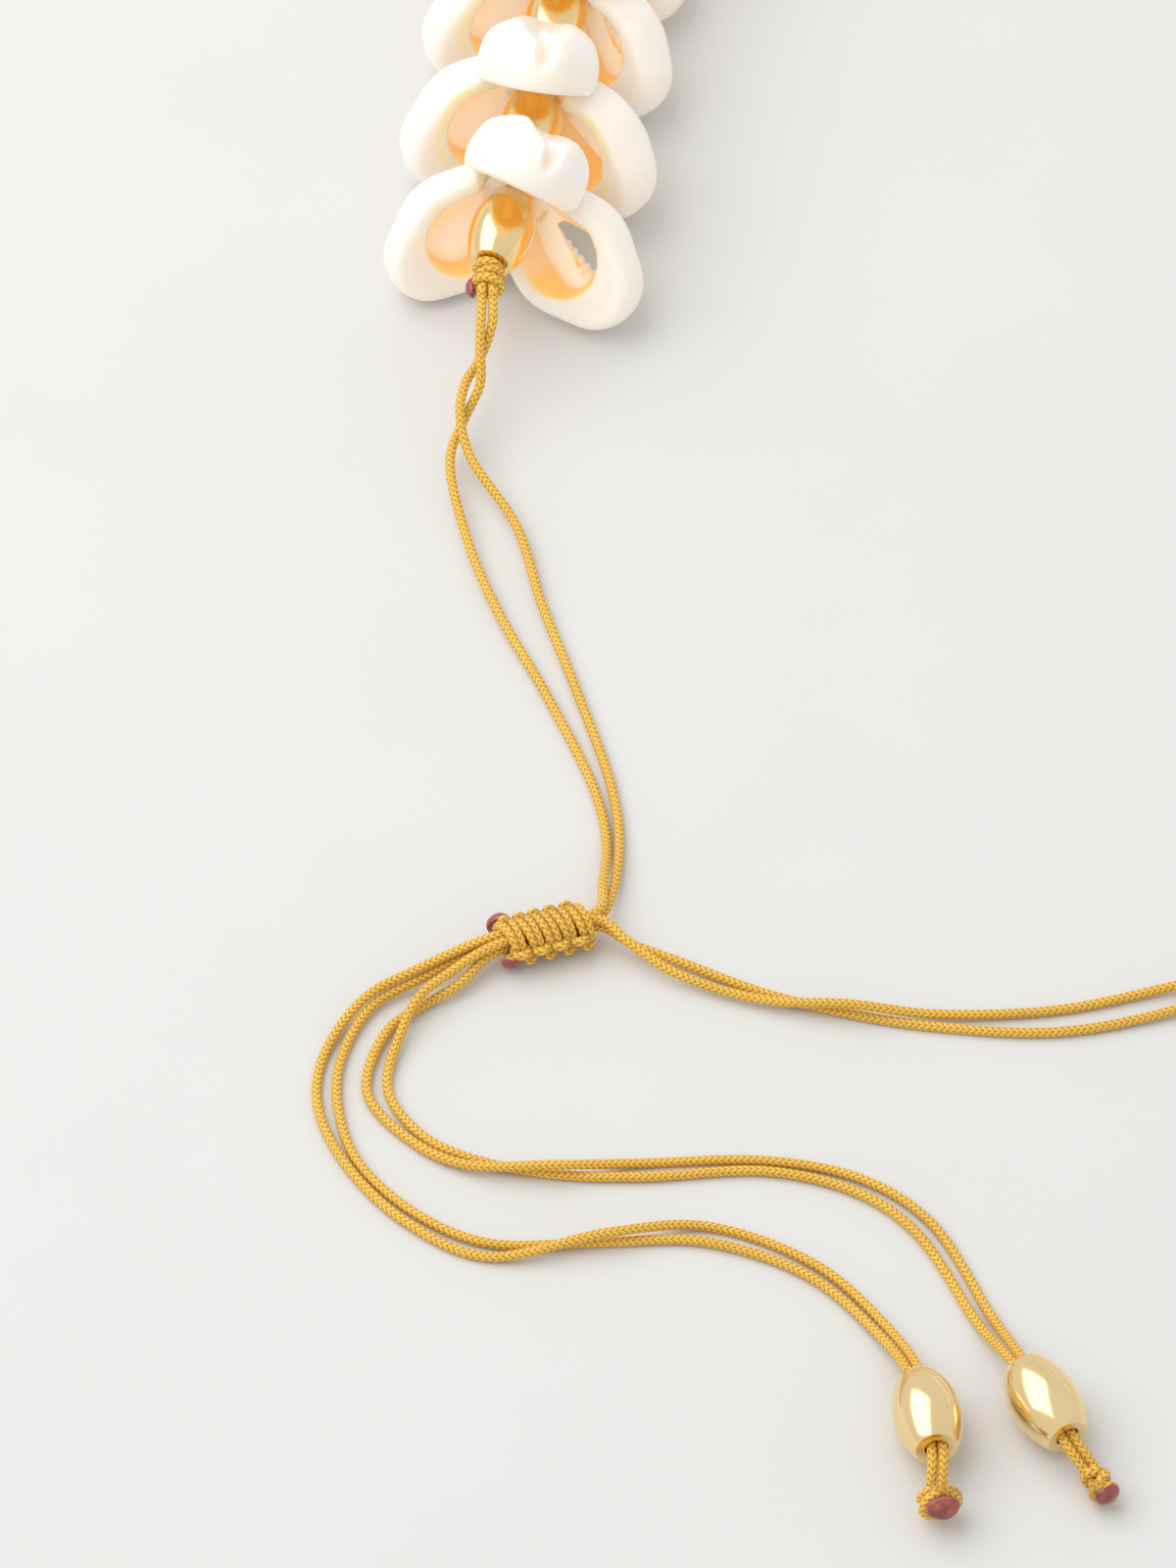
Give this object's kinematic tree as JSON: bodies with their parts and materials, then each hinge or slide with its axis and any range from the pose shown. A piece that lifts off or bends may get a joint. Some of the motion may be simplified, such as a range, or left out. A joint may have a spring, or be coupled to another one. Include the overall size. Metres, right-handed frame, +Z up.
{
  "type": "shell necklace",
  "caption": "Necklace of sliced cowrie shells layered in threes between gold barrel beads, lying open, fastened by a braided cord sliding knot with two beaded tails.",
  "frame": {"origin": "middle of the neck opening, on the surface that the necklace lies on", "axes": "+Z up from the surface; -Y towards the fastening, its sliding knot and its loose tails; +X to the right of someone facing the fastening from the -Y side"},
  "size_m": [0.1747, 0.2677, 0.0245],
  "materials": {
    "shell": "polished sliced cowrie shell, ivory rims and apricot hollows",
    "gold": "polished pale gold",
    "cord": "golden yellow braided cord",
    "melted_tip": "cord end melted to a glossy red-brown bead"
  },
  "bodies": {
    "root": {"shells_left": "shell", "shells_right": "shell", "spacer_beads": "gold", "stringing_thread": "cord", "strand_knot_a": "cord", "strand_knot_b": "cord", "strand_tip_a": "melted_tip", "strand_tip_b": "melted_tip", "cord_a_outer": "cord", "cord_a_inner": "cord", "cord_b_outer": "cord", "cord_b_inner": "cord", "sliding_knot": "cord", "slider_tip_upper": "melted_tip", "slider_tip_lower": "melted_tip", "tail_bead_a": "gold", "tail_bead_b": "gold", "tail_knot_a": "cord", "tail_knot_b": "cord", "tail_tip_a": "melted_tip", "tail_tip_b": "melted_tip"}
  },
  "joints": []
}
